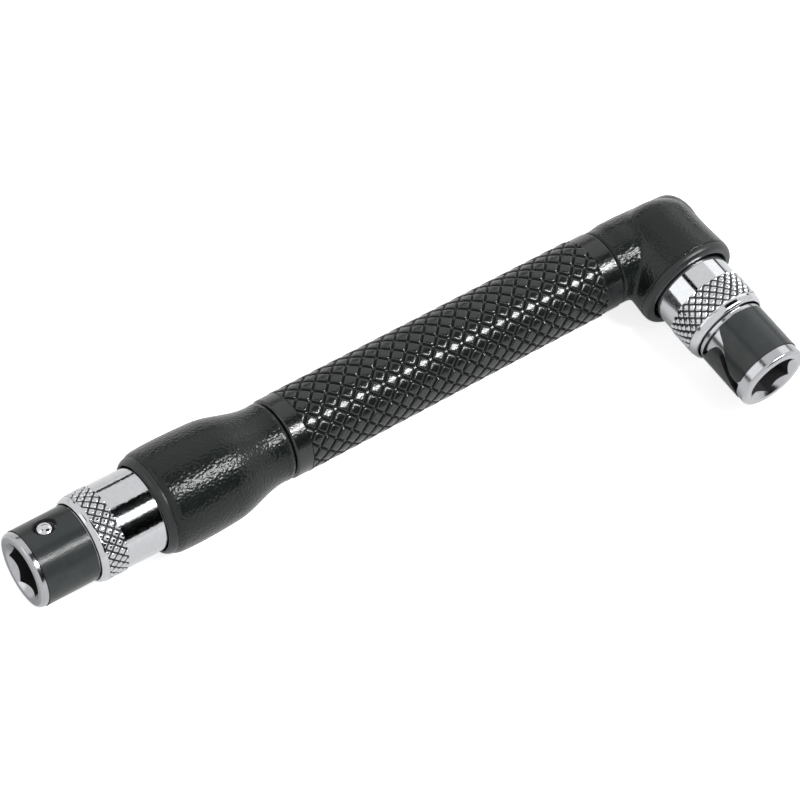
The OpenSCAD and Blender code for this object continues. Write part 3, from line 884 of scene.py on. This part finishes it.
# Chrome buffed on a wheel: mirror bright, with a fine waviness that frays its reflections
chrome_pale = "#cfd1d3"
chrome_grey = "#bfc1c4"
chrome_roughness = (0.04, 0.16)
haze_size = 0.5 * MM
buffing_size = 0.4 * MM
buffing_heights = {"straight": 0.012 * MM, "angle": 0.005 * MM}
for end, place in places.items():
    chrome, tree, shader = new_material("Buffed chrome plate, " + end)
    local = own_point(tree, place)
    haze = add(tree, "ShaderNodeTexNoise", {
        "Vector": local, "Scale": 1 / haze_size, "Detail": 4.0,
    })
    buffed = add(tree, "ShaderNodeTexNoise", {
        "Vector": local, "Scale": 1 / buffing_size, "Detail": 2.0,
    })
    wavy = add(tree, "ShaderNodeBump", {
        "Height": buffed.outputs[0], "Distance": buffing_heights[end],
    })
    two_tone(
        tree, shader, haze.outputs[0], (chrome_pale, chrome_grey),
        haze.outputs[0], chrome_roughness,
        {"Metallic": 1.0, "Normal": wavy.outputs[0]},
    )

    rear, front = stations(end, "lock_sleeve")
    groove_rear, groove_front = stations(end, "friction_ring")
    knurl_front = front - land_widths[end]
    knurl_rear = knurl_front - knurl_widths[end]
    inner_step = rear + collar_lengths[end]
    sleeve = bmesh.new()
    add_lathe(sleeve, rounded([
        (collar_bore, groove_rear - ring_gap, 0),
        (collar_bore, rear, 0),
        (sleeve_radius, rear, sleeve_softness),
        (sleeve_radius, knurl_rear, 0),
        (sleeve_bore, knurl_rear, 0),
        (sleeve_bore, inner_step, 0),
        (collar_bore, inner_step, 0),
        (collar_bore, groove_front + ring_gap, 0),
        (ring_groove_radius, groove_front + ring_gap, 0),
        (ring_groove_radius, groove_rear - ring_gap, 0),
    ]))
    # The knurl's groove walls take the chrome with painted shade
    add_knurl(
        sleeve, fine_knurl, knurl_rear, knurl_front, sleeve_bore, 0.0, chrome, groove_shade_chrome
    )
    add_lathe(sleeve, [
        (sleeve_bore, knurl_front),
        (sleeve_land_radius, knurl_front),
        *quarter_round(
            sleeve_edge_radius, knurl_front, sleeve_land_radius - sleeve_edge_radius,
            land_widths[end], land_steps,
        ),
        (sleeve_bore, front),
    ])
    finish_piece(
        sleeve, end + "_chrome_sleeve", place, [chrome, groove_shade_chrome], end + "_sleeve",
        "sleeve_chrome", end + "_lock_sleeve", crease=40,
    )
    refinish(end + "_friction_ring", nickel_steels[end])

# The guide bushes are moulded in black nylon and pressed into the mouths of the castings.
# Each shows as a smooth rounded lip, with the faint flow marks and sheen of moulded plastic.
lip_width = 1.0 * MM
lip_round = 0.75 * MM
lip_steps = 10
lip_bore = 6.0 * MM
lip_flare = 0.32 * MM
lip_flare_depth = 0.7 * MM
bush_radius = 6.4 * MM
nylon_black = "#151919"
nylon_grey = "#1f2424"
nylon_roughness = (0.28, 0.42)
flow_size = 1.5 * MM
fleck_size = 0.25 * MM
fleck_height = 0.01 * MM
nylon, tree, shader = new_material("Moulded black nylon")
point = add(tree, "ShaderNodeTexCoord")
flow = add(tree, "ShaderNodeTexNoise", {
    "Vector": point.outputs["Object"], "Scale": 1 / flow_size, "Detail": 3.0,
})
fleck = add(tree, "ShaderNodeTexNoise", {
    "Vector": point.outputs["Object"], "Scale": 1 / fleck_size, "Detail": 2.0,
})
matt = add(tree, "ShaderNodeBump", {"Height": fleck.outputs[0], "Distance": fleck_height})
two_tone(
    tree, shader, flow.outputs[0], (nylon_black, nylon_grey), flow.outputs[0], nylon_roughness,
    {"Normal": matt.outputs[0]},
)
for end, place in places.items():
    low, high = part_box(end + "_guide_bush")
    bottom, mouth = stations(end, "guide_bush")
    lip_radius = (high.z - low.z) / 2
    bush = bmesh.new()
    add_lathe(bush, [
        (lip_bore, bottom),
        (bush_radius, bottom),
        (bush_radius, mouth - lip_width),
        *quarter_round(
            lip_radius - lip_round, mouth - lip_width, lip_round, lip_width, lip_steps
        ),
        (lip_bore + lip_flare, mouth),
        (lip_bore, mouth - lip_flare_depth),
    ])
    finish_piece(
        bush, end + "_lip_bush", place, [nylon], "handle", "bush_black", end + "_guide_bush"
    )

# The studio is a white paper floor under a white sky, with one long soft key light.
# Paper and sky look pure white to the eye and in reflections, and the floor keeps the shadow.
floor_size = 4.0
paper_white = "#eeeeee"
paper_lift_seen = 0.78
paper_lift_mirrored = 0.2
light_white = "#ffffff"
paper, tree, shader = new_material("White paper")
path = add(tree, "ShaderNodeLightPath")
mirrored = add(tree, "ShaderNodeMath", (
    path.outputs["Is Glossy Ray"], path.outputs["Is Transmission Ray"],
), operation="MAXIMUM")
mirror_lift = add(tree, "ShaderNodeMath", (mirrored.outputs[0], paper_lift_mirrored),
                  operation="MULTIPLY")
lifted = add(tree, "ShaderNodeMath", (
    path.outputs["Is Camera Ray"], paper_lift_seen, mirror_lift.outputs[0],
), operation="MULTIPLY_ADD")
feed(tree, shader, {
    "Base Color": linear(paper_white), "Roughness": 0.9,
    "Emission Color": linear(light_white), "Emission Strength": lifted.outputs[0],
})
sheet = bmesh.new()
bmesh.ops.create_grid(sheet, x_segments=1, y_segments=1, size=floor_size / 2)
floor_mesh = bpy.data.meshes.new("paper_floor")
sheet.to_mesh(floor_mesh)
sheet.free()
floor_mesh.materials.append(paper)
floor = bpy.data.objects.new("paper_floor", floor_mesh)
bpy.context.scene.collection.objects.link(floor)
floor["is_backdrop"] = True

# The sky is full white wherever it is seen or mirrored, and lights the object by less
sky_fill = 0.35
sky_white = 1.0
world = bpy.data.worlds.new("White studio")
bpy.context.scene.world = world
world.use_nodes = True
tree = world.node_tree
tree.nodes.clear()
path = add(tree, "ShaderNodeLightPath")
seen = add(tree, "ShaderNodeMath", (
    path.outputs["Is Camera Ray"], path.outputs["Is Glossy Ray"],
), operation="MAXIMUM")
shown = add(tree, "ShaderNodeMath", (seen.outputs[0], path.outputs["Is Transmission Ray"]),
            operation="MAXIMUM")
level = add(tree, "ShaderNodeMapRange", {
    "Value": shown.outputs[0], "To Min": sky_fill, "To Max": sky_white,
})
sky = add(tree, "ShaderNodeBackground", {
    "Color": linear(light_white), "Strength": level.outputs[0],
})
add(tree, "ShaderNodeOutputWorld", {"Surface": sky.outputs[0]})

# The key is a strip light that hangs parallel to the grip, and gives it one long highlight
key_distance = 0.8
key_length = 0.5
key_width = 0.1
key_power = 5.4
key_way = Vector((0.36, -0.435, 0.82)).normalized()
key_side = (Vector((1, 0, 0)) - key_way * key_way.x).normalized()
key_turning = Matrix((key_side, key_way.cross(key_side), key_way)).transposed().to_4x4()
key_data = bpy.data.lights.new("Key strip", "AREA")
key_data.shape = "RECTANGLE"
key_data.size = key_length
key_data.size_y = key_width
key_data.energy = key_power
key = bpy.data.objects.new("Key strip", key_data)
bpy.context.scene.collection.objects.link(key)
key.matrix_world = Matrix.Translation(crossing + key_way * key_distance) @ key_turning

# Black and white cards hang between the lights, so that bright metal shows dark and light
# stripes as it does in a real light tent. Only reflections see them, and they cast no shadow.
card_distance = 0.9
card_glow = 1.6
card_dark = "#020202"
unlit = "#000000"
card_black, tree, shader = new_material("Black card")
feed(tree, shader, {
    "Base Color": linear(card_dark), "Roughness": 1.0, "Specular IOR Level": 0.0,
})
card_white, tree, shader = new_material("Lit white card")
feed(tree, shader, {
    "Base Color": linear(unlit), "Specular IOR Level": 0.0,
    "Emission Color": linear(light_white), "Emission Strength": card_glow,
})


def hang_card(name, along, side, low, high, ends, material):
    """A card parallel to the axis along, between two angles from straight up toward side."""
    sheet = bmesh.new()
    corners = []
    for turn, reach in (
        (low, ends[0]), (high, ends[0]), (high, ends[1]), (low, ends[1]),
    ):
        turn = math.radians(turn)
        corners.append(sheet.verts.new(
            crossing
            + (side * math.sin(turn) + Vector((0, 0, math.cos(turn)))) * card_distance
            + along * reach
        ))
    sheet.faces.new(corners)
    mesh = bpy.data.meshes.new(name)
    sheet.to_mesh(mesh)
    sheet.free()
    mesh.materials.append(material)
    card = bpy.data.objects.new(name, mesh)
    bpy.context.scene.collection.objects.link(card)
    card.visible_camera = False
    card.visible_diffuse = False
    card.visible_shadow = False
    card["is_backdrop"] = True


# Four cards lie along the grip and four along the leg, each with its two angles in degrees
grip_card_ends = (-0.05, 0.65)
leg_card_ends = (0.15, 0.5)
for name, low, high, material in (
    ("card_key", 18, 39, card_white),
    ("card_top", -8, 18, card_black),
    ("card_low", 39, 81, card_black),
    ("card_far_edge", -78.5, -69.5, card_black),
):
    hang_card(
        name, Vector((1, 0, 0)), Vector((0, -1, 0)), low, high, grip_card_ends, material
    )
for name, low, high, material in (
    ("card_leg_edge", -32.5, -21.5, card_black),
    ("card_leg_foot", 77, 84, card_black),
    ("card_leg_far", -84, -33, card_white),
    ("card_leg_near", 41, 74, card_white),
):
    hang_card(
        name, Vector((0, 1, 0)), Vector((1, 0, 0)), low, high, leg_card_ends, material
    )

bpy.context.scene.view_settings.view_transform = "Standard"
low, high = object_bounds()
